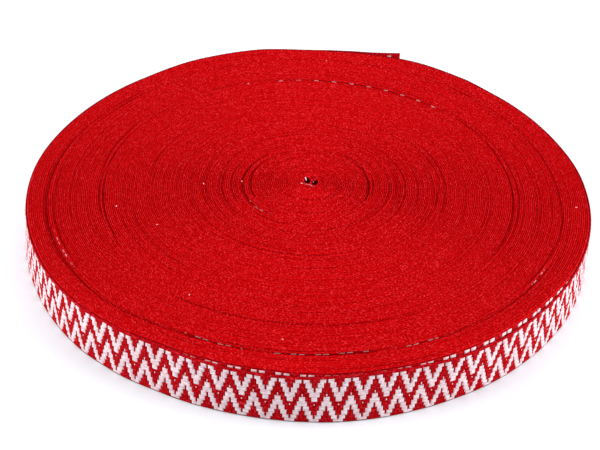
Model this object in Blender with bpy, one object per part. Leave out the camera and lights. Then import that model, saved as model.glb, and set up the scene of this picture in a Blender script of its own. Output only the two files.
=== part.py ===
# Flat roll of woven webbing lying on its side, with its outer end sprung free at the back right.
# Metres, +Z up. The origin is the middle of the winding on the underside, the strip's width is the height.

import bpy
import bmesh
import math

# Driving dimensions
STRIP_WIDTH = 0.0200        # width of the webbing, which is the roll's height
ROLL_RADIUS = 0.1080        # outer radius where the last turn ends
TURN_PITCH = 0.00069        # thickness of one wound turn
SHEET_THICKNESS = 0.0010    # thickness of the free end
PIECE_GAP = 0.0003          # clearance between the roll and its free end

LEAVE_ANGLE = math.radians(86.0)    # where the last turn leaves the roll and runs straight on
TIP_ANGLE = math.radians(69.5)      # where the free end is cut
TIP_FLARE = 0.0006                  # how far the tip curls out from that straight line

AROUND = 120                # facets round the roll
TAIL_STEPS = 14             # facets along the free end
STEP_RUN = 0.003            # angle over which the outline steps in beneath the free end
GROOVE_FADE = math.radians(14.0)    # length over which a short groove runs out
STEP_WIDTH = 0.00025        # radial run of the wall between two turns of different height

# Colours of the finish, linear
DYED_RED = (0.56, 0.003, 0.006, 1.0)
CLOTH_ROUGHNESS = 0.85

# Grooves and low steps that show as rings on the upper face. The four radii are shares of ROLL_RADIUS at
# 180, 270, 0 and 90 degrees, depth and inner rise are in metres, and a ring runs from one angle to the other.
RING_COLUMNS = ("name", "left", "front", "right", "back", "half_width", "depth", "rise", "start", "end")
RINGS = (
    ("outer band", 0.922, 0.902, 0.899, 0.908, 0.0008, 0.0006, 0.0002, 0, 360),
    ("middle band", 0.752, 0.746, 0.738, 0.743, 0.0008, 0.0005, 0.0002, 0, 360),
    ("inner band", 0.484, 0.480, 0.489, 0.486, 0.0007, 0.0004, 0.0000, -20, 90),
    ("core band", 0.245, 0.232, 0.222, 0.230, 0.0007, 0.0006, 0.0003, 0, 360),
)

# How unevenly the last turn sits, in metres by angle in degrees: how far its upper edge leans inwards and
# its lower edge stands out, how far it has slipped below the turn inside it, and how far the rim rises.
EDGE_COLUMNS = ("angle", "lean", "foot", "slip", "rise")
EDGE = (
    (-180, -0.0004, 0.0008, 0.0000, 0.0000),
    (-148, -0.0007, 0.0012, 0.0000, 0.0000),
    (-134, 0.0000, 0.0011, 0.0000, 0.0000),
    (-116, 0.0018, -0.0001, 0.0002, 0.0000),
    (-99, 0.0001, 0.0000, 0.0010, 0.0000),
    (-91, -0.0003, 0.0004, 0.0008, 0.0000),
    (-80, 0.0004, 0.0008, 0.0004, 0.0000),
    (-72, 0.0004, 0.0004, 0.0006, 0.0000),
    (-58, -0.0012, 0.0002, 0.0018, 0.0000),
    (-44, -0.0004, 0.0000, 0.0018, 0.0000),
    (-30, 0.0000, 0.0003, 0.0008, 0.0000),
    (-12, 0.0000, 0.0008, 0.0000, 0.0000),
    (20, 0.0000, 0.0000, 0.0000, -0.0003),
    (45, 0.0000, 0.0000, 0.0000, 0.0000),
    (62, 0.0000, 0.0000, 0.0000, 0.0012),
    (80, 0.0000, 0.0000, 0.0000, 0.0010),
    (94, 0.0000, 0.0000, 0.0000, 0.0002),
    (106, 0.0000, 0.0000, 0.0000, 0.0010),
    (118, 0.0000, 0.0000, 0.0000, 0.0007),
    (134, 0.0000, 0.0000, 0.0000, -0.0002),
)
RIM_BAND = 0.0050           # width of the band of turns that lean, rise and stand proud with the last one

# The two small eyes beside the fold at which the winding starts
EYE_COLUMNS = ("x", "y", "half_length", "half_width", "turn_degrees", "depth")
EYES = (
    (-0.0007, 0.0022, 0.0024, 0.0010, 80, 0.0045),
    (0.0023, 0.0012, 0.0020, 0.0010, 80, 0.0045),
)
EYE_SIDES = 14


def named(columns, rows):
    return [dict(zip(columns, row)) for row in rows]


def smooth(share):
    share = min(1.0, max(0.0, share))
    return share * share * (3.0 - 2.0 * share)


def turned(angle):
    """The angle brought into one turn, counted from where the last turn leaves the roll."""
    return (angle - LEAVE_ANGLE) % (2.0 * math.pi)


def spiral_radius(angle):
    """Outer radius of the wound roll: it loses one pitch over a full turn."""
    return ROLL_RADIUS - TURN_PITCH * turned(angle) / (2.0 * math.pi)


def edge_value(angle, column):
    """A column of EDGE at an angle, eased between its rows all the way round."""
    rows = named(EDGE_COLUMNS, EDGE)
    degrees = (math.degrees(angle) + 180.0) % 360.0 - 180.0
    last = dict(rows[0], angle=rows[0]["angle"] + 360)
    for low, high in zip(rows, rows[1:] + [last]):
        if low["angle"] <= degrees <= high["angle"]:
            share = smooth((degrees - low["angle"]) / (high["angle"] - low["angle"]))
            return low[column] + (high[column] - low[column]) * share
    return rows[0][column]


def ring_radius(ring, angle):
    """A ring's radius, eased between its four stated shares of the roll's radius."""
    quarters = (ring["right"], ring["back"], ring["left"], ring["front"])
    place = (angle % (2.0 * math.pi)) / (math.pi / 2.0)
    quarter = int(place) % 4
    share = smooth(place - int(place))
    low = quarters[quarter]
    high = quarters[(quarter + 1) % 4]
    return ROLL_RADIUS * (low + (high - low) * share)


def ring_strength(ring, angle):
    """1 where a ring runs and 0 where it doesn't, with eased ends."""
    start = math.radians(ring["start"])
    length = math.radians(ring["end"]) - start
    if length >= 2.0 * math.pi - 0.001:
        return 1.0
    along = (angle - start) % (2.0 * math.pi)
    if along > length:
        return 0.0
    return smooth(along / GROOVE_FADE) * smooth((length - along) / GROOVE_FADE)


def top_profile(angle):
    """Points of the upper face along one radius, from the outer rim inwards, as (radius, height)."""
    rim = spiral_radius(angle)
    lean = edge_value(angle, "lean")
    slip = edge_value(angle, "slip")
    rise = edge_value(angle, "rise")
    proud = 0.5 * slip
    points = [
        (rim - lean, STRIP_WIDTH + rise - proud),
        (rim - lean - TURN_PITCH, STRIP_WIDTH + rise - proud),
        (rim - lean - TURN_PITCH - STEP_WIDTH, STRIP_WIDTH + rise + proud),
        (rim - lean * 0.5 - RIM_BAND, STRIP_WIDTH + rise * 0.3),
    ]
    for ring in named(RING_COLUMNS, RINGS):
        middle = ring_radius(ring, angle)
        strength = ring_strength(ring, angle)
        floor = STRIP_WIDTH - ring["depth"] * strength
        points.append((middle + ring["half_width"], STRIP_WIDTH))
        points.append((middle + 0.3 * ring["half_width"], floor))
        points.append((middle - 0.3 * ring["half_width"], floor))
        points.append((middle - ring["half_width"], STRIP_WIDTH + ring["rise"] * strength))
        points.append((middle - 5.0 * ring["half_width"], STRIP_WIDTH))
    return points


def finish_material(name, colour, roughness):
    material = bpy.data.materials.new(name)
    material.use_nodes = True
    shader = material.node_tree.nodes["Principled BSDF"]
    shader.inputs["Base Color"].default_value = colour
    shader.inputs["Roughness"].default_value = roughness
    shader.inputs["Metallic"].default_value = 0.0
    return material


def add_object(name, mesh_builder, material):
    mesh = bpy.data.meshes.new(name)
    mesh_builder.normal_update()
    bmesh.ops.recalc_face_normals(mesh_builder, faces=mesh_builder.faces)
    mesh_builder.to_mesh(mesh)
    mesh_builder.free()
    mesh.materials.append(material)
    mesh.shade_smooth()
    mesh.set_sharp_from_angle(angle=math.radians(35.0))
    made = bpy.data.objects.new(name, mesh)
    bpy.context.scene.collection.objects.link(made)
    return made


def roll_angles():
    """Angles round the roll from where the last turn leaves it, with both sides of the step there."""
    full = 2.0 * math.pi
    angles = [LEAVE_ANGLE + full * step / AROUND for step in range(AROUND)]
    angles.append(LEAVE_ANGLE + full - STEP_RUN)
    return angles


def make_roll(material):
    """The wound form: one column of points for each angle, down the rim and over both faces."""
    shape = bmesh.new()
    columns = []
    for angle in roll_angles():
        across = math.cos(angle)
        along = math.sin(angle)
        foot_radius = spiral_radius(angle) + edge_value(angle, "foot")
        column = [shape.verts.new((foot_radius * across, foot_radius * along, 0.0))]
        for radius, height in top_profile(angle):
            column.append(shape.verts.new((radius * across, radius * along, height)))
        columns.append(column)
    top_middle = shape.verts.new((0.0, 0.0, STRIP_WIDTH))
    shape.faces.new([column[0] for column in reversed(columns)])
    for here, there in zip(columns, columns[1:] + columns[:1]):
        for low, high, high_next, low_next in zip(here, here[1:], there[1:], there):
            shape.faces.new((low, low_next, high_next, high))
        shape.faces.new((here[-1], there[-1], top_middle))
    roll = add_object("wound_roll", shape, material)
    for eye in named(EYE_COLUMNS, EYES):
        cut_eye(roll, eye)
    return roll


def cut_eye(roll, eye):
    """Cuts one narrow oval eye down into the upper face."""
    shape = bmesh.new()
    turn = math.radians(eye["turn_degrees"])
    levels = ((STRIP_WIDTH - eye["depth"], 0.6), (STRIP_WIDTH + 0.002, 1.1))
    loops = []
    for height, share in levels:
        loop = []
        for side in range(EYE_SIDES):
            angle = 2.0 * math.pi * side / EYE_SIDES
            along = eye["half_length"] * share * math.cos(angle)
            across = eye["half_width"] * share * math.sin(angle)
            x = eye["x"] + along * math.cos(turn) - across * math.sin(turn)
            y = eye["y"] + along * math.sin(turn) + across * math.cos(turn)
            loop.append(shape.verts.new((x, y, height)))
        loops.append(loop)
    shape.faces.new(list(reversed(loops[0])))
    shape.faces.new(loops[1])
    for side in range(EYE_SIDES):
        other = (side + 1) % EYE_SIDES
        shape.faces.new((loops[0][side], loops[0][other], loops[1][other], loops[1][side]))
    cutter = add_object("eye_cutter", shape, roll.data.materials[0])
    cutter.hide_render = True
    cutter.display_type = "WIRE"
    cut = roll.modifiers.new("eye", "BOOLEAN")
    cut.operation = "DIFFERENCE"
    cut.solver = "EXACT"
    cut.object = cutter


def make_loose_end(material):
    """The free end: a standing sheet that opens away from the roll towards its cut edge."""
    shape = bmesh.new()
    start = LEAVE_ANGLE - STEP_RUN - PIECE_GAP / ROLL_RADIUS
    sections = []
    for step in range(TAIL_STEPS + 1):
        share = step / TAIL_STEPS
        angle = start + (TIP_ANGLE - start) * share
        inner = (ROLL_RADIUS - TURN_PITCH + PIECE_GAP) / math.cos(start - angle) + TIP_FLARE * share ** 4
        outer = inner + SHEET_THICKNESS
        height = STRIP_WIDTH + edge_value(angle, "rise")
        corners = ((inner, 0.0), (outer, 0.0), (outer, height), (inner, height))
        section = []
        for radius, level in corners:
            place = (radius * math.cos(angle), radius * math.sin(angle), level)
            section.append(shape.verts.new(place))
        sections.append(section)
    shape.faces.new(sections[0])
    shape.faces.new(list(reversed(sections[-1])))
    for here, there in zip(sections, sections[1:]):
        for corner in range(4):
            after = (corner + 1) % 4
            shape.faces.new((here[corner], here[after], there[after], there[corner]))
    return add_object("loose_end", shape, material)


def clear_scene():
    for old in list(bpy.data.objects):
        bpy.data.objects.remove(old, do_unlink=True)


def main():
    clear_scene()
    webbing = finish_material("woven webbing", DYED_RED, CLOTH_ROUGHNESS)
    make_roll(webbing)
    make_loose_end(webbing)


main()
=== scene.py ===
# A roll of woven webbing, 20 mm wide, red with a white double zigzag, wound flat on itself.
import math

import bpy
import numpy as np
from mathutils import Matrix, Vector


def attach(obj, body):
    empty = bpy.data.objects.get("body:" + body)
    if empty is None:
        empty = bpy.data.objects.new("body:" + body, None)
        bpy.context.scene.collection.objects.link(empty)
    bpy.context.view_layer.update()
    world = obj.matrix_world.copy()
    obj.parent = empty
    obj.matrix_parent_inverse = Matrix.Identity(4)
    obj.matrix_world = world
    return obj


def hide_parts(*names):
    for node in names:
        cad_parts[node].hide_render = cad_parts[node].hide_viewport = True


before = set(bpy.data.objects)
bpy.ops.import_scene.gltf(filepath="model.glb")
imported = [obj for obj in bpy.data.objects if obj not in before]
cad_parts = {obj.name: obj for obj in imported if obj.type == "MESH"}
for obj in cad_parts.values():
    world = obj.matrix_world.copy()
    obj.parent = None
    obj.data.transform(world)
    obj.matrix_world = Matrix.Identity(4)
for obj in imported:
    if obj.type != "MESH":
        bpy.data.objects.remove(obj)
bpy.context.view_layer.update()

fullTurn = 2 * math.pi

# Camera: metres and degrees, measured from the middle of the roll's upper face.
photoView = {
    "elevation": 34.74,
    "distance": 0.4725,
    "lens": 72.97,
    "sensor": 36.0,
    "aimAt": (-0.0028, -0.0271),   # on the upper face
    "roll": 1.37,
}


def placeCamera(settings):
    elevation = math.radians(settings["elevation"])
    back = Vector((0, -math.cos(elevation), math.sin(elevation)))
    eye = Vector((0, 0, strip["width"])) + back * settings["distance"]
    aim = Vector((*settings["aimAt"], strip["width"]))
    data = bpy.data.cameras.new("photoCamera")
    data.lens = settings["lens"]
    data.sensor_width = settings["sensor"]
    data.clip_start = 0.01
    data.clip_end = 20
    camera = bpy.data.objects.new("photoCamera", data)
    bpy.context.scene.collection.objects.link(camera)
    turned = (aim - eye).to_track_quat("-Z", "Y").to_matrix()
    turned = turned @ Matrix.Rotation(math.radians(settings["roll"]), 3, "Z")
    camera.matrix_world = Matrix.Translation(eye) @ turned.to_4x4()
    bpy.context.scene.camera = camera


# The strip as wound. A turn is counted from where the loose end leaves the roll, growing inwards.
strip = {
    "width": 0.0200,
    "pitch": 0.00069,          # thickness of one turn, wound tight
    "rollRadius": 0.1080,
    "leavesAt": 86.0,
    "repeat": 0.007887,        # one zigzag, so the outer turn has 85.8 of them
    "picks": 12,               # weft threads in a repeat
    "notchAt": -90.1,          # a notch between two arms, on the outer turn
    "secondNotchAt": -76.6,    # the same on the second turn
    "secondShows": (1.24, 1.75),   # turns between which the second turn's face shows
    "secondRows": 4,           # floats of it that show
    "coreRadius": 0.0034,      # innermost round turn, about the two small folds
    "valley": 0.00052,         # how far the selvedge rounds down between two turns
}
pickLength = strip["repeat"] / strip["picks"]

# The rim is uneven. Lean is the upper edge inwards, foot the lower edge outwards, slip how far the
# next turn has crept up past the outer one, rise how much higher the rim stands, slide how far the
# zigzag has drawn along the outer turn.
rimColumns = ("angle", "lean", "foot", "slip", "rise", "slide")
rimTable = (
    (-180, -0.0002, 0.0024, 0.0006, 0, 0),
    (-170, -0.0002, 0.0022, 0.0011, 0, 0),
    (-163, -0.0002, 0.0018, 0.0009, 0, 0),
    (-156, -0.0003, 0.0014, 0.0004, 0, 0),
    (-146, -0.0005, 0.0014, 0.0003, 0, 0),
    (-136, -0.0003, 0.0014, 0.0002, 0, 0),
    (-127, 0.0007, 0.0008, 0.0002, 0, 0),
    (-116, 0.0018, -0.0001, 0.0008, -0.0001, 0),
    (-108, 0.0011, 0, 0.0012, -0.0001, 0),
    (-102, 0.0004, 0, 0.0017, -0.0001, 0),
    (-96, 0, 0.0002, 0.0019, -0.0001, 0),
    (-90, -0.0003, 0.0004, 0.0016, -0.0001, 0),
    (-84, 0.0002, 0.0007, 0.0009, -0.0001, 0),
    (-76, 0.0004, 0.0006, 0.0009, -0.0002, 0),
    (-69, 0, 0.0004, 0.0013, -0.0003, 0),
    (-62, -0.0009, 0.0004, 0.0023, -0.0003, -0.0002),
    (-54, -0.0010, 0.0007, 0.0026, -0.0002, -0.0009),
    (-46, -0.0008, 0.0007, 0.0026, -0.0001, -0.0014),
    (-38, -0.0007, 0.0009, 0.0024, 0, -0.0023),
    (-29, -0.0006, 0.0011, 0.0009, 0, -0.0032),
    (-12, -0.0006, 0.0014, 0, 0, -0.0038),
    (4, -0.0003, 0.0007, 0, 0, -0.0036),
    (20, 0, 0, 0, -0.0003, -0.0024),
    (42, 0, 0, 0, 0.0001, -0.0008),
    (52, 0, 0, 0, 0.0009, 0),
    (64, 0, 0, 0, 0.0014, 0),
    (78, 0, 0, 0, 0.0007, 0),
    (91, 0, 0, 0, 0, 0),
    (104, 0, 0, 0, 0.0010, 0),
    (118, 0, 0, 0, 0.0008, 0),
    (134, 0, 0, 0, -0.0003, 0),
    (156, 0.0002, 0, 0, -0.0003, 0),
)
# How deep into the roll the rim's unevenness reaches.
rimReach = {
    "rise": 0.022,
    "quickRise": 0.005,        # most of the rise is gone by here
    "quickShare": 0.7,
    "slip": 0.0075,
    "shift": 0.009,            # lean and foot
}

# Creases between turns, and single turns that stand up beside them (negative depth). Each runs through
# places given by degrees and by share of the roll's radius.
creaseColumns = ("depth", "width", "places")
creaseTable = (
    (0.0015, 0.0008, ((132, 0.915), (160, 0.920), (180, 0.927), (196, 0.929), (216, 0.925), (228, 0.921),
                      (240, 0.905), (252, 0.896), (276, 0.896), (288, 0.902), (312, 0.908), (336, 0.915))),
    (-0.0004, 0.0007, ((168, 0.911), (184, 0.914), (192, 0.920), (200, 0.912), (228, 0.911), (240, 0.896),
                       (249, 0.888), (276, 0.889), (290, 0.896))),
    (0.0011, 0.0008, ((318, 0.895), (336, 0.898), (348, 0.903), (358, 0.896), (368, 0.894), (384, 0.897),
                      (400, 0.904), (432, 0.911), (456, 0.909), (482, 0.902), (504, 0.898), (516, 0.899))),
    (0.0006, 0.0008, ((492, 0.900), (504, 0.898), (540, 0.901), (562, 0.905), (576, 0.904))),
    (-0.0003, 0.0007, ((300, 0.901), (324, 0.908), (336, 0.912), (348, 0.911))),
    (0.0007, 0.0006, ((272, 0.972), (280, 0.975), (300, 0.976))),
    (0.0014, 0.0007, ((232, 0.767), (252, 0.765), (264, 0.763), (276, 0.768), (292, 0.773), (306, 0.774))),
    (-0.0003, 0.0007, ((256, 0.757), (276, 0.761), (296, 0.767))),
    (-0.0003, 0.0007, ((296, 0.775), (320, 0.774), (360, 0.773), (392, 0.771))),
    (0.0007, 0.0007, ((335, 0.748), (372, 0.749), (390, 0.754), (420, 0.760), (450, 0.758))),
    (-0.0004, 0.0007, ((308, 0.739), (330, 0.742), (360, 0.739), (372, 0.738), (384, 0.744), (404, 0.751))),
    (0.0011, 0.0007, ((322, 0.736), (336, 0.733), (360, 0.731), (374, 0.731), (392, 0.740), (408, 0.748),
                      (428, 0.754), (456, 0.752), (470, 0.750), (490, 0.752))),
    (-0.0004, 0.0007, ((466, 0.763), (492, 0.760), (504, 0.755), (516, 0.750), (530, 0.744), (544, 0.739),
                       (570, 0.737), (580, 0.740))),
    (0.0011, 0.0007, ((496, 0.763), (518, 0.757), (536, 0.748), (552, 0.744), (566, 0.744))),
    (0.0011, 0.0007, ((520, 0.742), (536, 0.736), (552, 0.734), (566, 0.735), (580, 0.742))),
    (0.0007, 0.0007, ((194, 0.684), (206, 0.680), (222, 0.679), (236, 0.673))),
    (0.0008, 0.0009, ((190, 0.638), (208, 0.636), (226, 0.632), (238, 0.620))),
    (-0.0003, 0.0006, ((196, 0.627), (224, 0.627), (240, 0.616), (270, 0.611))),
    (-0.0003, 0.0006, ((488, 0.641), (508, 0.638), (526, 0.631), (540, 0.631))),
    (0.0006, 0.0009, ((490, 0.585), (510, 0.582), (526, 0.578), (538, 0.573))),
    (0.0009, 0.0010, ((334, 0.485), (354, 0.487), (368, 0.491), (380, 0.496), (396, 0.499))),
    (0.0008, 0.0008, ((338, 0.461), (354, 0.463), (366, 0.470), (380, 0.473), (400, 0.474))),
    (0.0006, 0.0008, ((160, 0.372), (180, 0.371), (192, 0.365), (210, 0.361))),
    (0.0006, 0.0007, ((160, 0.312), (186, 0.310), (204, 0.313), (226, 0.311))),
    (0.0016, 0.0008, ((126, 0.242), (150, 0.241), (178, 0.239), (200, 0.236), (212, 0.232), (232, 0.229))),
    (0.0013, 0.0008, ((138, 0.216), (160, 0.214), (168, 0.210), (182, 0.212), (208, 0.209))),
    (-0.0004, 0.0006, ((126, 0.205), (160, 0.204), (186, 0.206), (200, 0.204), (222, 0.208))),
    (-0.0003, 0.0006, ((142, 0.193), (176, 0.194), (206, 0.192))),
    (0.0015, 0.0008, ((328, 0.223), (348, 0.218), (360, 0.216), (372, 0.217), (388, 0.223), (424, 0.229))),
    (-0.0004, 0.0006, ((344, 0.226), (364, 0.226), (380, 0.232), (412, 0.236))),
    (0.0007, 0.0007, ((336, 0.200), (360, 0.198), (384, 0.204))),
    (0.0014, 0.0007, ((240, 0.039), (264, 0.039), (288, 0.039))),
)
creaseEnds = 12                # degrees over which each one begins and ends

# Places where one turn stands above its neighbour, so that the top of its woven face shows. The notch is
# the angle of one notch of its zigzag.
peepColumns = ("from", "to", "share", "side", "step", "notch")
peepTable = (
    (-114, -102, 0.8945, "out", 0.0002, -110.4),
    (-96, -77, 0.8975, "out", 0.0002, -91.2),
    (-73, -63, 0.9030, "out", 0.0002, -68.5),
    (-160, -146, 0.9130, "out", 0.0003, -155.5),
    (-36, -26, 0.9050, "out", 0.0003, -31),
    (-101, -91, 0.7680, "out", 0.0002, -94),
    (40, 104, 0.7480, "in", 0.0006, 68.8),
    (208, 234, 0.2310, "out", 0.0005, 222),
)
peepShape = {
    "squeeze": 0.38,           # how much the turned edge shortens what shows
    "ends": 3,                 # degrees
    "reach": 0.0020,           # how quickly the step sinks back to the turns beyond it
}

# How much the turns stand up and down against each other.
unevenness = {
    "seed": 4,
    "slow": 0.00012,
    "slowSpacing": 0.080,
    "quick": 0.00004,
    "quickSpacing": 0.011,
    "bands": 0.00009,          # rings that run round the whole roll
    "bandCount": 9,
    "bandFrequency": (500, 1500),   # radians per metre of radius
    "bandLobes": 4,            # a ring has fewer than this many
    "heart": 2.0,              # times as uneven near the middle
    "heartFrom": 0.014,        # radius where that is whole
    "heartTo": (0.030, 0.060),     # radii between which it dies away
    "spareValues": 9,
    "stitch": 0.00008,         # one selvedge loop above the next
    "shaken": 0.6,             # random share of a stitch
    "moved": 0.05,             # and of a turn's thickness
    "slackTurns": 46,          # stretches of a turn that lie lower than their neighbours
    "slackFrom": (3, 12),      # turns from the outside and from the middle that have none
    "slackDepth": (0.00020, 0.00042),
    "slackSpan": (15, 85),     # degrees
}


def smoothStep(share):
    share = np.clip(share, 0.0, 1.0)
    return share * share * (3.0 - 2.0 * share)


def column(table, names, name):
    return np.array([row[names.index(name)] for row in table], float)


def rimValue(degrees, name):
    # eased between the rows of the rim's table
    degrees = (np.asarray(degrees, float) + 180.0) % 360.0 - 180.0
    angles = column(rimTable, rimColumns, "angle")
    values = column(rimTable, rimColumns, name)
    angles = np.append(angles, angles[0] + 360.0)
    values = np.append(values, values[0])
    row = np.clip(np.searchsorted(angles, degrees, side="right") - 1, 0, len(angles) - 2)
    share = smoothStep((degrees - angles[row]) / (angles[row + 1] - angles[row]))
    return values[row] + (values[row + 1] - values[row]) * share


def turnAngle(turn):
    return math.radians(strip["leavesAt"]) + fullTurn * np.asarray(turn, float)


def turnRadius(turn):
    return strip["rollRadius"] - strip["pitch"] * np.asarray(turn, float)


def lengthAt(turn):
    # strip wound from where it leaves the roll to this turn
    middle = strip["rollRadius"] - strip["pitch"] / 2
    turn = np.asarray(turn, float)
    return fullTurn * (middle * turn - strip["pitch"] * turn * turn / 2)


def turnAt(length):
    middle = strip["rollRadius"] - strip["pitch"] / 2
    inside = middle * middle - 2 * strip["pitch"] * np.asarray(length, float) / fullTurn
    return (middle - np.sqrt(inside)) / strip["pitch"]


def notchLength(degrees, turn):
    # strip wound as far as a notch seen at this angle, on the turn that begins no later than this one
    first = ((degrees - strip["leavesAt"]) % 360.0) / 360.0
    return float(lengthAt(first + round(turn - first)))


coreTurn = float((strip["rollRadius"] - strip["coreRadius"]) / strip["pitch"])
random = np.random.default_rng(unevenness["seed"])


def wander(length, spacing, values):
    # a random value every so often along the strip, eased between
    place = np.asarray(length, float) / spacing + 2
    low = np.floor(place).astype(int)
    share = smoothStep(place - low)
    return values[low % len(values)] * (1 - share) + values[(low + 1) % len(values)] * share


totalLength = float(lengthAt(coreTurn))
spare = unevenness["spareValues"]
slowValues = random.normal(0, 1, int(totalLength / unevenness["slowSpacing"]) + spare)
quickValues = random.normal(0, 1, int(totalLength / unevenness["quickSpacing"]) + spare)
bandWaves = []
for i in range(unevenness["bandCount"]):
    frequency = random.uniform(*unevenness["bandFrequency"])
    lobes = random.integers(0, unevenness["bandLobes"])
    bandWaves.append((frequency, lobes, random.uniform(0, fullTurn)))
firstSlack, lastSlack = unevenness["slackFrom"]
slackStarts = random.uniform(firstSlack, coreTurn - lastSlack, unevenness["slackTurns"])
slackSpans = random.uniform(*unevenness["slackSpan"], unevenness["slackTurns"]) / 360
slackDepths = random.uniform(*unevenness["slackDepth"], unevenness["slackTurns"])


def creaseHeight(radius, degrees):
    height = np.zeros_like(radius)
    for row in creaseTable:
        crease = dict(zip(creaseColumns, row))
        angles, shares = np.array(crease["places"]).T
        span = angles[-1] - angles[0]
        along = (degrees - angles[0]) % 360.0
        fade = smoothStep(along / creaseEnds) * smoothStep((span - along) / creaseEnds)
        away = radius - strip["rollRadius"] * np.interp(angles[0] + along, angles, shares)
        # a bell curve, whose spread is 0.6 of its width at half depth
        height -= crease["depth"] * fade * np.exp(-(away / (0.6 * crease["width"])) ** 2)
    return height


def peepStart(peep):
    # the turn that shows, where the showing begins
    start = ((peep["from"] - strip["leavesAt"]) % 360.0) / 360.0
    count = strip["rollRadius"] * (1 - peep["share"]) / strip["pitch"]
    return start + round(count - start)


def peepHeight(turn):
    height = np.zeros_like(turn)
    degrees = strip["leavesAt"] + 360.0 * turn
    for row in peepTable:
        peep = dict(zip(peepColumns, row))
        span = peep["to"] - peep["from"]
        along = (degrees - peep["from"]) % 360.0
        fade = smoothStep(along / peepShape["ends"]) * smoothStep((span - along) / peepShape["ends"])
        away = np.round(turn - peepStart(peep) - along / 360.0)
        if peep["side"] == "in":
            away = -away
        sunk = np.exp(-np.abs(away) * strip["pitch"] / peepShape["reach"])
        height += peep["step"] * fade * (away >= 0) * sunk
    return height


def crestHeight(turn):
    # top of the selvedge, for the outer turn and every turn inside it
    turn = np.asarray(turn, float)
    angle = turnAngle(turn)
    degrees = np.degrees(angle)
    radius = turnRadius(turn) - strip["pitch"] / 2
    length = lengthAt(turn)
    depth = np.maximum(turn - 1, 0) * strip["pitch"]
    rise = rimValue(degrees, "rise") * (1 - smoothStep(depth / rimReach["rise"]))
    rise *= 1 - rimReach["quickShare"] * smoothStep(depth / rimReach["quickRise"])
    crept = np.where(turn < 1, 0, rimValue(degrees, "slip") * (1 - smoothStep(depth / rimReach["slip"])))
    height = strip["width"] + rise + crept + creaseHeight(radius, degrees) + peepHeight(turn)
    heartNear, heartFar = unevenness["heartTo"]
    heart = 1 - smoothStep((radius - heartNear) / (heartFar - heartNear))
    heart *= smoothStep(radius / unevenness["heartFrom"])
    # the outer turn lies even, and the unevenness comes in over the next two
    inner = smoothStep((turn - 1) / 2) * (1 + (unevenness["heart"] - 1) * heart)
    height += inner * unevenness["slow"] * wander(length, unevenness["slowSpacing"], slowValues)
    height += inner * unevenness["quick"] * wander(length, unevenness["quickSpacing"], quickValues)
    band = unevenness["bands"] / math.sqrt(len(bandWaves))
    for frequency, lobes, phase in bandWaves:
        height += inner * band * np.sin(frequency * radius + lobes * angle + phase)
    for start, span, depth in zip(slackStarts, slackSpans, slackDepths):
        share = (turn - start) / span
        # eased over the first and last sixth
        height -= depth * smoothStep(share * 6) * smoothStep((1 - share) * 6)
    return height


def place(turn, across, height):
    # a point of the strip: across is 0 at a turn's outer face and 1 at its inner face
    angle = turnAngle(turn)
    degrees = np.degrees(angle)
    radius = turnRadius(turn) - across * strip["pitch"]
    depth = strip["rollRadius"] - radius
    share = height / strip["width"]
    shift = rimValue(degrees, "foot") * (1 - share) - rimValue(degrees, "lean") * share
    radius = radius + shift * (1 - smoothStep(depth / rimReach["shift"]))
    near = 1 - smoothStep((radius - core["pullNear"]) / (core["pullFar"] - core["pullNear"]))
    x = radius * np.cos(angle) + core["x"] * near
    y = radius * np.sin(angle) + core["y"] * near
    return np.stack([x, y, np.broadcast_to(height, x.shape)], axis=-1)


def meshFromGrid(name, grid, slots=None, materials=(), closed=False):
    # grid is rows of points: each row is one section across, and rows follow each other.
    # A closed one joins each section into a loop and caps both ends.
    rows, across = grid.shape[:2]
    index = np.arange(rows * across).reshape(rows, across)
    if closed:
        index = np.concatenate([index, index[:, :1]], axis=1)
    corners = [index[:-1, :-1], index[1:, :-1], index[1:, 1:], index[:-1, 1:]]
    quads = np.stack(corners, axis=-1).reshape(-1, 4)
    loops = quads.reshape(-1)
    starts = np.arange(0, quads.size, 4)
    if closed:
        loops = np.concatenate([loops, index[0, :-1], index[-1, -2::-1]])
        starts = np.append(starts, [quads.size, quads.size + across])
        slots = None if slots is None else np.append(np.asarray(slots).reshape(-1), [0, 0])
    mesh = bpy.data.meshes.new(name)
    mesh.vertices.add(rows * across)
    mesh.vertices.foreach_set("co", grid.reshape(-1).astype(np.float32))
    mesh.loops.add(len(loops))
    mesh.loops.foreach_set("vertex_index", loops.astype(np.int32))
    mesh.polygons.add(len(starts))
    mesh.polygons.foreach_set("loop_start", starts.astype(np.int32))
    for material in materials:
        mesh.materials.append(material)
    if slots is not None:
        mesh.polygons.foreach_set("material_index", np.asarray(slots).reshape(-1).astype(np.int32))
    mesh.update(calc_edges=True)
    mesh.validate()
    mesh.shade_smooth()
    made = bpy.data.objects.new(name, mesh)
    bpy.context.scene.collection.objects.link(made)
    return made


def joinPieces(name, pieces):
    # several meshes as one piece
    bpy.ops.object.select_all(action="DESELECT")
    for piece in pieces:
        piece.select_set(True)
    bpy.context.view_layer.objects.active = pieces[0]
    bpy.ops.object.join()
    joined = bpy.context.view_layer.objects.active
    joined.name = name
    joined.data.name = name
    return joined


def linear(hexColour):
    # sRGB hex to linear
    parts = [int(hexColour[i:i + 2], 16) / 255 for i in (1, 3, 5)]
    parts = [p / 12.92 if p <= 0.04045 else ((p + 0.055) / 1.055) ** 2.4 for p in parts]
    return (*parts, 1.0)


def addNode(tree, kind, inputs=None, **settings):
    node = tree.nodes.new(kind)
    for name, value in settings.items():
        setattr(node, name, value)
    for name, value in (inputs or {}).items():
        if isinstance(value, bpy.types.NodeSocket):
            tree.links.new(value, node.inputs[name])
        else:
            node.inputs[name].default_value = value
    return node


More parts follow.
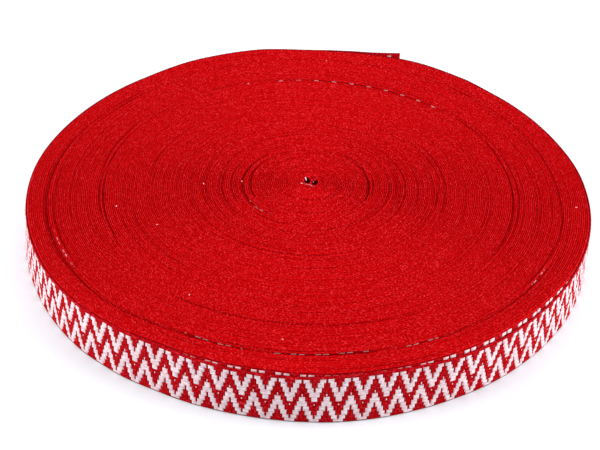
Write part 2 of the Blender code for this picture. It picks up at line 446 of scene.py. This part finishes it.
def wovenPolyester(name, settings):
    # Spun polyester yarn, piece dyed and woven tight: matt, a little fuzzy, with a soft sheen where the
    # fibres turn over. The colour shifts at random from speck to speck, lighter and darker, and the brightest
    # specks are a painted glint.
    material = bpy.data.materials.new(name)
    material.use_nodes = True
    tree = material.node_tree
    shader = tree.nodes["Principled BSDF"]
    where = addNode(tree, "ShaderNodeTexCoord")
    split = addNode(tree, "ShaderNodeSeparateXYZ", {"Vector": where.outputs["Object"]})
    angle = addNode(tree, "ShaderNodeMath", {
        0: split.outputs["Y"], 1: split.outputs["X"]}, operation="ARCTAN2")
    flat = addNode(tree, "ShaderNodeCombineXYZ", {"X": split.outputs["X"], "Y": split.outputs["Y"]})
    reach = addNode(tree, "ShaderNodeVectorMath", {0: flat.outputs["Vector"]}, operation="LENGTH")
    along = addNode(tree, "ShaderNodeMath", {
        0: angle.outputs[0], 1: reach.outputs["Value"]}, operation="MULTIPLY")
    unrolled = addNode(tree, "ShaderNodeCombineXYZ", {
        "X": along.outputs[0], "Y": reach.outputs["Value"], "Z": split.outputs["Z"]})
    fibres = addNode(tree, "ShaderNodeVectorMath", {
        0: unrolled.outputs["Vector"], 1: [1000 / mm for mm in settings["fibre"]]}, operation="MULTIPLY")
    fine = addNode(tree, "ShaderNodeTexNoise", {
        "Vector": fibres.outputs["Vector"], "Scale": 1.0, "Detail": 2.0, "Roughness": 0.6})
    speckled = addNode(tree, "ShaderNodeVectorMath", {
        0: unrolled.outputs["Vector"], 1: [1000 / mm for mm in settings["speck"]]}, operation="MULTIPLY")
    specks = addNode(tree, "ShaderNodeTexNoise", {
        "Vector": speckled.outputs["Vector"], "Scale": 1.0, "Detail": 1.0, "Roughness": 0.5})
    spread = addNode(tree, "ShaderNodeMapRange", {
        "Value": specks.outputs["Fac"], "From Min": 0.32, "From Max": 0.68})
    colours = addNode(tree, "ShaderNodeValToRGB", {"Fac": spread.outputs["Result"]})
    stops = colours.color_ramp.elements
    stops[0].color = linear(settings["deep"])
    # the brightest end of the ramp is a painted glint
    stops[1].color = linear(settings["paintedGlint"])
    middle = stops.new(0.5)
    middle.color = linear(settings["colour"])
    light = stops.new(0.85)
    light.color = linear(settings["light"])
    tree.links.new(colours.outputs["Color"], shader.inputs["Base Color"])
    shader.inputs["Roughness"].default_value = settings["roughness"]
    shader.inputs["IOR"].default_value = 1.53
    shader.inputs["Specular IOR Level"].default_value = settings["specular"]
    shader.inputs["Sheen Weight"].default_value = settings["sheen"]
    shader.inputs["Sheen Roughness"].default_value = 0.45
    shader.inputs["Sheen Tint"].default_value = linear(settings["light"])
    bump = addNode(tree, "ShaderNodeBump", {
        "Height": fine.outputs["Fac"], "Strength": settings["bump"], "Distance": settings["fibre"][2] / 1000})
    tree.links.new(bump.outputs["Normal"], shader.inputs["Normal"])
    return material


redYarn = {
    "colour": "#C40002",
    "deep": "#B00002",
    "light": "#D20610",
    "paintedGlint": "#E4343E",            # painted glint: the brightest specks, coloured as broken fibres that catch the light
    "roughness": 0.85,
    "specular": 0.03,
    "sheen": 0.0,
    "bump": 0.6,
    "fibre": (1.2, 0.22, 0.22),   # mm: fibres lie along the strip, drawn coarser than the real 0.02 mm
    "speck": (0.6, 0.35, 0.5),    # mm: one weft loop or one thread
}
# painted shade: the same yarn, darker on the slopes between two turns, where less light gets in
slopeShadeYarn = {
    **redYarn,
    "colour": "#AE0004",
    "deep": "#980003",
    "light": "#C6080F",
    "paintedGlint": "#DA343E",
}
# painted shade: the same yarn, darker on the woven face and over the top of the outer turn's edge, where less
# light falls
faceShadeYarn = {
    **redYarn,
    "colour": "#A80009",
    "deep": "#8A0006",
    "light": "#C60C18",
    "paintedGlint": "#D83440",
    "speck": (0.5, 0.35, 0.5),
}
# painted deep shade: the same yarn, much darker, for gaps, hollows, the rim's foot and far side, and the red
# beside the white floats
deepShadeYarn = {
    **redYarn,
    "colour": "#74000A",
    "deep": "#5E0008",
    "light": "#880611",
    "paintedGlint": "#880611",
    "roughness": 0.9,
    "specular": 0.05,
    "bump": 0.4,
    "speck": (0.7, 0.40, 0.6),
}
# bleached yarn, smoother and softly bright, with the red showing through it as a pink tinge
whiteYarn = {
    "colour": "#E6CACF",
    "deep": "#CFB0B7",
    "light": "#F2DCDF",
    "paintedGlint": "#F2E4E6",
    "roughness": 0.7,
    "specular": 0.3,
    "sheen": 0.1,
    "bump": 0.4,
    "fibre": (1.6, 0.25, 0.25),
    "speck": (1.5, 0.5, 0.5),
}

# The chart of the zigzag: one line is one step, from the upper edge down. The first pick is the
# notch between two arms, # is a white float, n a short one across the middle of the step and o a short
# one just below it.
zigzagChart = (
    ".###.....###",
    "..###...###.",
    "...###.###..",
    "n...#####...",
    "##...###...#",
    "###...o...##",
    ".###.....###",
    "..###...###.",
    "...###.###..",
    "....#####...",
)

# Woven face: every step of the chart is two floats high. Heights are down from the strip's upper edge.
face = {
    "firstFloat": 0.00105,
    "stepEnds": (2.60, 4.65, 6.70, 8.70, 10.72, 12.77, 14.80, 16.80, 18.45, 19.60),   # mm
    "white": 0.00014,
    "red": 0.00007,
    "short": 0.00008,          # a float over one pick only
    "groove": 0.00015,         # between two steps
    "fineGroove": 0.00005,     # between two floats of one step
    "endDip": 0.00018,         # where a float goes under
    "loose": 0.00004,          # random height of a float
    "bound": 0.2,              # share of the dip between two picks of one float
    "rowSkip": 977,            # random values passed over from each row to the next
    "pickShares": (0.0, 0.25, 0.75),
}
# Which material of a woven piece a quad takes, in the order of its list; the third is a painted deep shade
# and the fourth a lighter painted shade.
usesRed, usesWhite, usesDeepShade, usesFaceShadeRed = range(4)
# How the edges round over, from the top or the foot of the strip. Top edges vary by half a stitch.
edge = {
    "shoulder": 0.00020,
    "loop": 0.00055,           # fullest part of the outermost loop of weft
    "hem": 0.00018,
    "heel": 0.00025,           # foot of the inner side
    "crown": 0.00004,          # inner side of the top, beside the crest
    "darkSides": 0.6,          # cosine and sine of the angles past which the top is painted in deep shade
    "darkBack": 0.3,
}
# The same where only the top of a turn's face shows.
showingEdge = {
    "tuck": 0.26,              # share of the thickness
    "crown": 0.00002,
    "shoulder": 0.00022,
    "loop": 0.00058,
    "proud": 0.00004,          # how far the face stands off the neighbouring turn
}


def chartRows():
    # each float's top and bottom below the upper edge, its line of the chart and its step;
    # v is white in the lower half of a float only, ^ and o in its upper half
    rows = []
    top = face["firstFloat"]
    for step, (line, end) in enumerate(zip(zigzagChart, face["stepEnds"])):
        middle = (top + end / 1000) / 2
        rows.append((top, middle, line.replace("o", ".").replace("n", "v"), step))
        rows.append((middle, end / 1000, line.replace("n", "^"), step))
        top = end / 1000
    return rows


def pickColumns(startLength, endLength, notch):
    # places along the strip: three to a pick, and which pick each belongs to
    first = math.floor((startLength - notch) / pickLength + 0.5)
    last = math.ceil((endLength - notch) / pickLength - 0.5)
    picks = np.arange(first, last + 1)
    shares = np.array(face["pickShares"])
    places = (picks[:, None] - 0.5 + shares[None, :]) * pickLength + notch
    places = np.append(places.reshape(-1), (picks[-1] + 0.5) * pickLength + notch)
    owners = np.append(np.repeat(picks, len(shares)), picks[-1] + 1)
    kinds = np.append(np.tile(np.arange(len(shares)), len(picks)), 0)
    return places, owners, kinds


def faceRelief(startLength, endLength, notch, rowCount=99, reverse=False):
    # height of the floats on a grid of levels and places, and each level's depth and colour
    places, owners, kinds = pickColumns(startLength, endLength, notch)
    rows = chartRows()[:rowCount]
    colours = []
    crests = []
    whites = []
    for i, (top, bottom, line, step) in enumerate(rows):
        marks = np.array(list(line))
        white = marks != "."
        if reverse:
            # the back shows white behind the red, bound down at the ends
            white = ~(white | np.roll(white, 1) | np.roll(white, -1))
            marks = np.where(white, "#", ".")
        short = np.isin(marks, ["o", "v", "^"])
        mark = marks[owners % strip["picks"]]
        mine = white[owners % strip["picks"]]
        before = white[(owners - 1) % strip["picks"]]
        mineShort = short[owners % strip["picks"]]
        ends = (kinds == 0) & (mine != before)
        crest = np.where(mine, face["white"], face["red"])
        crest = np.where(mineShort, face["short"], crest)
        crest = np.where((kinds == 0) & ~ends, crest - face["bound"] * face["endDip"], crest)
        crest = np.where(ends, face["red"] - face["endDip"], crest)
        floatNumber = np.cumsum(ends) + face["rowSkip"] * i
        lift = np.random.default_rng(i).normal(0, face["loose"], floatNumber.max() + 1)[floatNumber]
        crests.append(crest + np.where(ends, 0, lift))
        after = white[(owners + 1) % strip["picks"]]
        # painted shade: red beside a white float's end takes the deep shade, the rest of the red the face's
        # shade
        shaded = ~mine & ((before & (kinds == 0)) | (after & (kinds == 2)))
        shown = mine & (~mineShort | (kinds == 1))
        slot = np.where(shaded, usesDeepShade, np.where(shown, usesWhite, usesFaceShadeRed))
        upper = np.where(mark == "v", usesFaceShadeRed, slot)
        lower = np.where(np.isin(mark, ["^", "o"]), usesFaceShadeRed, slot)
        colours.append((upper[:-1], lower[:-1]))
        whites.append(mine | np.where(kinds == 0, before, mine))
    levels = [rows[0][0]]
    reliefs = [crests[0] - face["groove"] * whites[0]]
    slots = []
    for i, (top, bottom, line, step) in enumerate(rows):
        levels += [(top + bottom) / 2, bottom]
        reliefs.append(crests[i])
        sameStep = i + 1 < len(rows) and rows[i + 1][3] == step
        below = crests[i + 1] if i + 1 < len(rows) else crests[i]
        shown = whites[i] | whites[i + 1] if i + 1 < len(rows) else whites[i]
        groove = face["fineGroove"] if sameStep else np.where(shown, face["groove"], face["fineGroove"])
        reliefs.append(np.minimum(crests[i], below) - groove)
        slots += colours[i]
    return places, np.array(levels), np.array(reliefs), np.array(slots)


def slidTurns(places, share):
    # the turn each place along the strip comes to, with this share of the rim's slide
    turns = turnAt(places)
    return turnAt(places + share * rimValue(strip["leavesAt"] + 360.0 * turns, "slide"))


def loopsAlong(places):
    # half a stitch up or down at each place along a face, turn about from pick to pick
    pick = np.arange(len(places)) // len(face["pickShares"])
    return np.where(pick % 2 == 0, 0.5, -0.5) * unevenness["stitch"]


def addOuterTurn(name, startTurn, endTurn, materials):
    # the last turn of the strip, whole: face, both selvedges and the top of its edge
    start, end = float(lengthAt(startTurn)), float(lengthAt(endTurn))
    places, levels, reliefs, slots = faceRelief(start, end, notchLength(strip["notchAt"], 0.5))
    turns = slidTurns(places, 1.0)
    top = crestHeight(turns)
    stitch = loopsAlong(places)
    inside = np.minimum(top, crestHeight(turns + 1)) - strip["valley"]
    sections = [
        place(turns, 1.0, inside),
        place(turns, 0.74, top - edge["crown"] - stitch),
        place(turns, 0.30, top + stitch),
        place(turns, 0.02, top - edge["shoulder"]),
        place(turns, -0.08, top - edge["loop"] + stitch),
    ]
    shares = levels / strip["width"]
    for share, relief in zip(shares, reliefs):
        sections.append(place(turns, -relief / strip["pitch"], top * (1 - share)))
    sections += [
        place(turns, 0.0, np.full_like(top, edge["hem"])),
        place(turns, 0.25, np.zeros_like(top)),
        place(turns, 0.75, np.zeros_like(top)),
        place(turns, 1.0, np.full_like(top, edge["heel"])),
    ]
    # painted deep shade in the gap behind the outer turn, which is dark, widest at the sides, and along its
    # foot;
    # the rim's far side stands against the light, so its top is painted in deep shade there too
    facing = turnAngle(turns)[:-1]
    atTheSides = np.abs(np.cos(facing)) > edge["darkSides"]
    atTheBack = np.sin(facing) > edge["darkBack"]
    indices = np.full((len(places) - 1, len(sections) - 1), usesDeepShade)
    # painted shade over the top of the outer turn's edge, down to its first row of floats
    indices[:, 1:5] = usesFaceShadeRed
    indices[atTheSides, :2] = usesDeepShade
    indices[atTheBack, :5] = usesDeepShade
    indices[:, 5:5 + len(slots)] = slots.T
    return meshFromGrid(name, np.stack(sections, axis=1), indices, materials)


def addTopTurns(name, startLength, endLength, materials):
    # upper selvedges of the turns: one step for every pick, each loop of weft a little proud of the next
    count = int((endLength - startLength) / pickLength) + 1
    turns = turnAt(np.linspace(startLength, endLength, count))
    top = crestHeight(turns)
    outside = np.minimum(top, crestHeight(turns - 1)) - strip["valley"]
    inside = np.minimum(top, crestHeight(turns + 1)) - strip["valley"]
    stitch = np.where(np.arange(count) % 2 == 0, 1, -1) * unevenness["stitch"]
    shaken = random.normal(0, unevenness["stitch"] * unevenness["shaken"], (2, count))
    moved = random.normal(0, unevenness["moved"], (2, count))
    grid = np.stack([
        place(turns, 0.0, outside),
        place(turns, 0.30 + moved[0], top + stitch + shaken[0]),
        place(turns, 0.70 + moved[1], top - stitch + shaken[1]),
        place(turns, 1.0, inside),
    ], axis=1)
    # the first material on the crest, the second, a painted shade, on the slopes either side of it
    indices = np.ones((count - 1, 3), int)
    indices[:, 1] = 0
    return meshFromGrid(name, grid, indices, materials)


def addShowingFace(name, startTurn, endTurn, notchAt, side, rowCount, squeeze, materials):
    # the top rows of a turn's woven face, where it stands above its neighbour
    start, end = float(lengthAt(startTurn)), float(lengthAt(endTurn))
    notch = notchLength(notchAt, (startTurn + endTurn) / 2)
    places, levels, reliefs, slots = faceRelief(start, end, notch, rowCount, reverse=(side == "in"))
    # the second turn has drawn along half as far as the outer one, the others not at all
    turns = slidTurns(places, 0.5 if startTurn < 2 else 0)
    top = crestHeight(turns)
    across, outwards = (0.0, -1) if side == "out" else (1.0, 1)
    proud = outwards * showingEdge["proud"] / strip["pitch"]
    sections = [
        place(turns, across - outwards * showingEdge["tuck"], top - showingEdge["crown"]),
        place(turns, across + proud * 0.5, top - showingEdge["shoulder"] * squeeze),
        place(turns, across + proud * 2.2, top - showingEdge["loop"] * squeeze),
    ]
    for level, relief in zip(levels, reliefs):
        raised = across + proud + outwards * relief / strip["pitch"]
        sections.append(place(turns, raised, top - level * squeeze))
    indices = np.full((len(places) - 1, len(sections) - 1), usesRed)
    # painted deep shade on the shoulder, a dark line along the top of the showing rows
    indices[:, 1] = usesDeepShade
    indices[:, 3:3 + len(slots)] = slots.T
    return meshFromGrid(name, np.stack(sections, axis=1), indices, materials)


def addShowingRows(name, materials):
    # every stretch of woven face that shows above a neighbouring turn, the second turn's first
    first, last = strip["secondShows"]
    notchAt, rowCount = strip["secondNotchAt"], strip["secondRows"]
    pieces = [addShowingFace("secondTurnFace", first, last, notchAt, "out", rowCount, 1, materials)]
    for row in peepTable:
        peep = dict(zip(peepColumns, row))
        first = peepStart(peep)
        last = first + (peep["to"] - peep["from"]) / 360.0
        pieces.append(addShowingFace("peep", first, last, peep["notch"], peep["side"], 1,
                                     peepShape["squeeze"], materials))
    return joinPieces(name, pieces)


def addUnderside(name, materials):
    # lower selvedges, which the roll rests on
    stepsPerTurn = 90
    turns = np.linspace(1.0, coreTurn, int((coreTurn - 1.0) * stepsPerTurn))
    low = np.zeros_like(turns)
    grid = np.stack([
        place(turns, 0.0, low + edge["heel"]),
        place(turns, 0.5, low),
        place(turns, 1.0, low + edge["heel"]),
    ], axis=1)
    return meshFromGrid(name, grid, None, materials)


# The heart of the roll: the strip's inner end is folded twice, and each fold leaves a small eye, dark with
# its depth and with painted deep shade inside it.
core = {
    "x": 0.0008,
    "y": 0.0016,
    "pullNear": 0.003,         # radius up to which the turns lie round this point
    "pullFar": 0.013,          # and beyond which they lie round the roll's own middle
    "wall": 0.00069,
    "deep": 0.0050,
    "steps": 40,
    "floorRings": 8,
}
eyeColumns = ("x", "y", "halfLength", "halfWidth", "turnedBy", "deep")
eyeTable = (
    (-0.0006, 0.0021, 0.0025, 0.0011, 80, 0.0050),
    (0.0024, 0.0012, 0.0021, 0.0011, 80, 0.0050),
    (0.0015, 0.0041, 0.0010, 0.0006, 150, 0.0004),
    (-0.0001, -0.0025, 0.0015, 0.0004, -8, 0.0014),
    (-0.0018, -0.0004, 0.0008, 0.0006, 60, 0.0004),
)
# Threads and tufts of white yarn pulled up out of the folds: radius, then the places each runs through.
threadTable = (
    (0.00024, ((-0.0015, 0.0043, 0.0200), (-0.0012, 0.0033, 0.0201), (-0.0009, 0.0023, 0.0196))),
    (0.00017, ((0.0015, 0.0028, 0.0194), (0.0018, 0.0022, 0.0190))),
    (0.00016, ((-0.0031, -0.0002, 0.0201), (-0.0028, -0.0004, 0.0203), (-0.0024, -0.0003, 0.0201))),
    (0.00006, ((-0.0017, -0.0007, 0.0201), (0.0002, -0.0010, 0.0203), (0.0018, -0.0022, 0.0201))),
)

# Single pale fibres on the upper face: degrees, share of the roll's radius, length, turned by.
fibreTable = (
    (-165.3, 0.690, 0.0009, 60),
    (-176.5, 0.377, 0.0010, 100),
    (-152.2, 0.581, 0.0010, 20),
    (-120.0, 0.738, 0.0007, 80),
    (-94.5, 0.841, 0.0008, 30),
    (-6.2, 0.950, 0.0009, 10),
    (86.3, 0.909, 0.0010, 90),
    (110.0, 0.752, 0.0010, 80),
    (180.5, 0.240, 0.0008, 100),
)
thread = {
    "steps": 6,                # between two places
    "sides": 6,
    "thinning": 0.7,           # share that the ends lose
    "fibreRadius": 0.00014,
    "fibreLift": 0.0001,
}


def eyeOval(eye, around, grow, height):
    turned = math.radians(eye["turnedBy"])
    along = (eye["halfLength"] + grow) * np.cos(around)
    across = (eye["halfWidth"] + grow) * np.sin(around)
    x = eye["x"] + along * math.cos(turned) - across * math.sin(turned)
    y = eye["y"] + along * math.sin(turned) + across * math.cos(turned)
    return np.stack([x, y, np.full_like(x, height)], axis=-1)


def addCore(name, materials):
    # fills the middle with the folds round the eyes, over a dark floor
    pieces = []
    around = np.linspace(0, fullTurn, core["steps"] + 1)
    top = strip["width"]
    wall = core["wall"]
    for row in eyeTable:
        eye = dict(zip(eyeColumns, row))
        # growth past the eye and depth below the roll's top, from its bottom up and out over the fold
        outline = (
            (-eye["halfWidth"], eye["deep"]),
            (-0.0002, eye["deep"]),
            (0.0, 0.0004),
            (wall * 0.3, 0.0001),
            (wall * 0.75, 0.0001),
            (wall, 0.0006),
        )
        sections = [eyeOval(eye, around, grow, top - depth) for grow, depth in outline]
        # the second material, a painted deep shade, inside the eye, the first on the fold
        indices = np.zeros((len(around) - 1, len(sections) - 1), int)
        indices[:, :3] = 1
        pieces.append(meshFromGrid(name + "Eye", np.stack(sections, axis=1), indices, materials))
    shares = np.linspace(0, 1, core["floorRings"])
    floorRadius = strip["coreRadius"] + 0.001     # runs a little way under the innermost turn
    x = core["x"] + floorRadius * np.cos(around)[:, None] * shares[None, :]
    y = core["y"] + floorRadius * np.sin(around)[:, None] * shares[None, :]
    floor = np.stack([x, y, np.full_like(x, top - core["deep"])], axis=-1)
    pieces.append(meshFromGrid(name + "Floor", floor, None, materials))
    return joinPieces(name, pieces)


def addThread(name, points, radius, materials):
    # a round thread through a few places, thinner at both ends
    points = np.array(points, float)
    steps = thread["steps"] * (len(points) - 1) + 1
    share = np.linspace(0, len(points) - 1, steps)
    path = np.stack([np.interp(share, np.arange(len(points)), points[:, i]) for i in range(3)], axis=1)
    heading = np.gradient(path, axis=0)
    heading /= np.linalg.norm(heading, axis=1)[:, None]
    sideways = np.cross(heading, (0, 0, 1.0))
    sideways /= np.linalg.norm(sideways, axis=1)[:, None]
    upwards = np.cross(sideways, heading)
    thick = radius * (1 - thread["thinning"] * np.abs(np.linspace(-1, 1, steps)) ** 3)[:, None, None]
    around = np.linspace(0, fullTurn, thread["sides"] + 1)[:-1]
    ring = sideways[:, None, :] * np.cos(around)[None, :, None]
    ring = ring + upwards[:, None, :] * np.sin(around)[None, :, None]
    return meshFromGrid(name, path[:, None, :] + thick * ring, None, materials, closed=True)


def addPaleThreads(name, materials):
    pieces = [addThread(name, points, radius, materials) for radius, points in threadTable]
    for degrees, share, length, turnedBy in fibreTable:
        angle = math.radians(degrees)
        turn = (strip["rollRadius"] * (1 - share)) / strip["pitch"]
        middle = np.array([math.cos(angle), math.sin(angle), 0]) * strip["rollRadius"] * share
        middle[2] = float(crestHeight(np.array([turn]))[0]) + thread["fibreLift"]
        heading = math.radians(turnedBy)
        half = np.array([math.cos(heading), math.sin(heading), 0]) * length / 2
        points = (middle - half, middle, middle + half)
        pieces.append(addThread(name, points, thread["fibreRadius"], materials))
    return joinPieces(name, pieces)


# The loose end: a straight length of the strip that has sprung off the roll.
looseEnd = {
    "length": 0.0326,
    "flare": 0.0006,
    "thickness": 0.00069,
    "inset": 0.00002,          # how far the floats are bedded in
    "bulge": 0.00005,          # of the outermost loops of weft
    "droop": 0.0006,           # upper edge at the tip
    "backShift": 0.0019,       # the white floats of the back sit this much further from the tip
}


def looseEndPlace(length, outwards, height):
    start = math.radians(strip["leavesAt"])
    away = -np.asarray(length, float)
    share = np.clip(away / looseEnd["length"], 0, 1)
    offset = strip["rollRadius"] + outwards + looseEnd["flare"] * share ** 4
    x = offset * math.cos(start) + away * math.sin(start)
    y = offset * math.sin(start) - away * math.cos(start)
    return np.stack([x, y, np.broadcast_to(height, x.shape)], axis=-1)


def addLooseEnd(name, materials):
    notch = notchLength(strip["notchAt"], 0.5)
    places, levels, reliefs, slots = faceRelief(-looseEnd["length"], 0.0, notch)
    keep = np.clip(places, -looseEnd["length"], 0.0)
    shift = looseEnd["backShift"]
    backReliefs, backSlots = faceRelief(-looseEnd["length"] - shift, -shift, notch, reverse=True)[2:]
    backReliefs, backSlots = backReliefs[:, :len(places)], backSlots[:, :len(places) - 1]
    degrees = strip["leavesAt"] + np.degrees(keep / strip["rollRadius"])
    top = strip["width"] + rimValue(degrees, "rise") + looseEnd["droop"] * keep / looseEnd["length"]
    thick, inset, bulge = looseEnd["thickness"], looseEnd["inset"], looseEnd["bulge"]
    stitch = loopsAlong(places)
    heights = [top * (1 - share) for share in levels / strip["width"]]
    front = [looseEndPlace(keep, relief - inset, height) for relief, height in zip(reliefs, heights)]
    back = [looseEndPlace(keep, inset - thick - relief, height)
            for relief, height in zip(backReliefs, heights)]
    # once round the strip, from the top of its edge down the front and up the back
    sections = [
        looseEndPlace(keep, -thick * 0.30, top + stitch),
        looseEndPlace(keep, 0.0, top - edge["shoulder"]),
        looseEndPlace(keep, bulge, top - edge["loop"] + stitch),
        *front,
        looseEndPlace(keep, 0.0, np.full_like(top, edge["hem"])),
        looseEndPlace(keep, -thick * 0.5, np.zeros_like(top)),
        looseEndPlace(keep, -thick, np.full_like(top, edge["hem"])),
        *back[::-1],
        looseEndPlace(keep, -thick - bulge, top - edge["loop"] - stitch),
        looseEndPlace(keep, -thick, top - edge["shoulder"]),
        looseEndPlace(keep, -thick * 0.70, top - stitch),
    ]
    indices = np.full((len(places) - 1, len(sections)), usesRed)
    indices[:, 3:3 + len(slots)] = slots.T
    backStart = 3 + len(front) + 3
    backYarns = np.where(backSlots[::-1].T == usesWhite, usesWhite, usesRed)
    indices[:, backStart:backStart + len(backSlots)] = backYarns
    # painted deep shade over the top of the edge and the top of its back
    indices[:, -2:] = usesDeepShade
    indices[:, 0] = usesDeepShade
    return meshFromGrid(name, np.stack(sections, axis=1), indices, materials, closed=True)


# Floor and light: a white sweep, two large side panels and a panel overhead, as in a light tent.
studio = {
    "floorSize": 6.0,
    "paper": ("#E6ECF1", "#EAF0F5"),
    "surround": 0.40,
    "panels": (
        # name, place, size, power
        ("overhead", (0.05, 0.30, 1.60), 1.6, 13.0),
        ("leftPanel", (-1.0, -0.10, 0.45), 0.8, 11.9),
        ("rightPanel", (1.0, -0.10, 0.45), 0.8, 13.5),
    ),
}


def paperFloor():
    # Matt white background paper: no grain at this distance, a very slight unevenness in tone.
    material = bpy.data.materials.new("mattWhitePaper")
    material.use_nodes = True
    tree = material.node_tree
    shader = tree.nodes["Principled BSDF"]
    where = addNode(tree, "ShaderNodeTexCoord")
    tone = addNode(tree, "ShaderNodeTexNoise", {"Vector": where.outputs["Object"], "Scale": 3.0})
    colours = addNode(tree, "ShaderNodeValToRGB", {"Fac": tone.outputs["Fac"]})
    for stop, colour in zip(colours.color_ramp.elements, studio["paper"]):
        stop.color = linear(colour)
    tree.links.new(colours.outputs["Color"], shader.inputs["Base Color"])
    shader.inputs["Roughness"].default_value = 0.9
    shader.inputs["Specular IOR Level"].default_value = 0.1
    return material


def buildStudio():
    half = studio["floorSize"] / 2
    corners = np.array([[[-half, -half, 0], [half, -half, 0]], [[-half, half, 0], [half, half, 0]]], float)
    floor = meshFromGrid("paperFloor", corners, None, [paperFloor()])
    floor.data.flip_normals()
    for name, spot, size, power in studio["panels"]:
        light = bpy.data.lights.new(name, "AREA")
        light.shape = "SQUARE"
        light.size = size
        light.energy = power
        lamp = bpy.data.objects.new(name, light)
        bpy.context.scene.collection.objects.link(lamp)
        lamp.location = spot
        lamp.rotation_mode = "QUATERNION"
        lamp.rotation_quaternion = (Vector((0, 0, 0)) - Vector(spot)).to_track_quat("-Z", "Y")
    world = bpy.data.worlds.new("softSurround")
    world.use_nodes = True
    world.node_tree.nodes["Background"].inputs["Color"].default_value = (1, 1, 1, 1)
    world.node_tree.nodes["Background"].inputs["Strength"].default_value = studio["surround"]
    bpy.context.scene.world = world
    bpy.context.scene.view_settings.view_transform = "Standard"
    bpy.context.scene.view_settings.look = "None"


def buildRoll():
    red = wovenPolyester("redPolyesterYarn", redYarn)
    white = wovenPolyester("whitePolyesterYarn", whiteYarn)
    deepShadeRed = wovenPolyester("redYarnPaintedDeepShade", deepShadeYarn)
    slopeShade = wovenPolyester("redSlopeYarnPaintedShade", slopeShadeYarn)
    yarns = [red, white, deepShadeRed, wovenPolyester("redFaceYarnPaintedShade", faceShadeYarn)]
    made = [addOuterTurn("outerTurnLeft", 0.0, 0.5, yarns), addOuterTurn("outerTurnRight", 0.5, 1.0, yarns)]
    print("outer turn woven")
    start = float(lengthAt(1.0))
    third = (totalLength - start) / 3
    for i, name in enumerate(("turnsOuter", "turnsMiddle", "turnsInner")):
        made.append(addTopTurns(name, start + third * i, start + third * (i + 1), [red, slopeShade]))
    print("turns wound")
    made.append(addShowingRows("showingRows", yarns))
    made.append(addUnderside("underside", [red]))
    made.append(addCore("core", [red, deepShadeRed]))
    made.append(addPaleThreads("paleThreads", [white]))
    loose = addLooseEnd("looseEnd", yarns)
    for piece in made + [loose]:
        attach(piece, "root")
    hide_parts("wound_roll")
    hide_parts("loose_end")
    print("loose end and core made")


placeCamera(photoView)
buildRoll()
buildStudio()
print("studio lit")
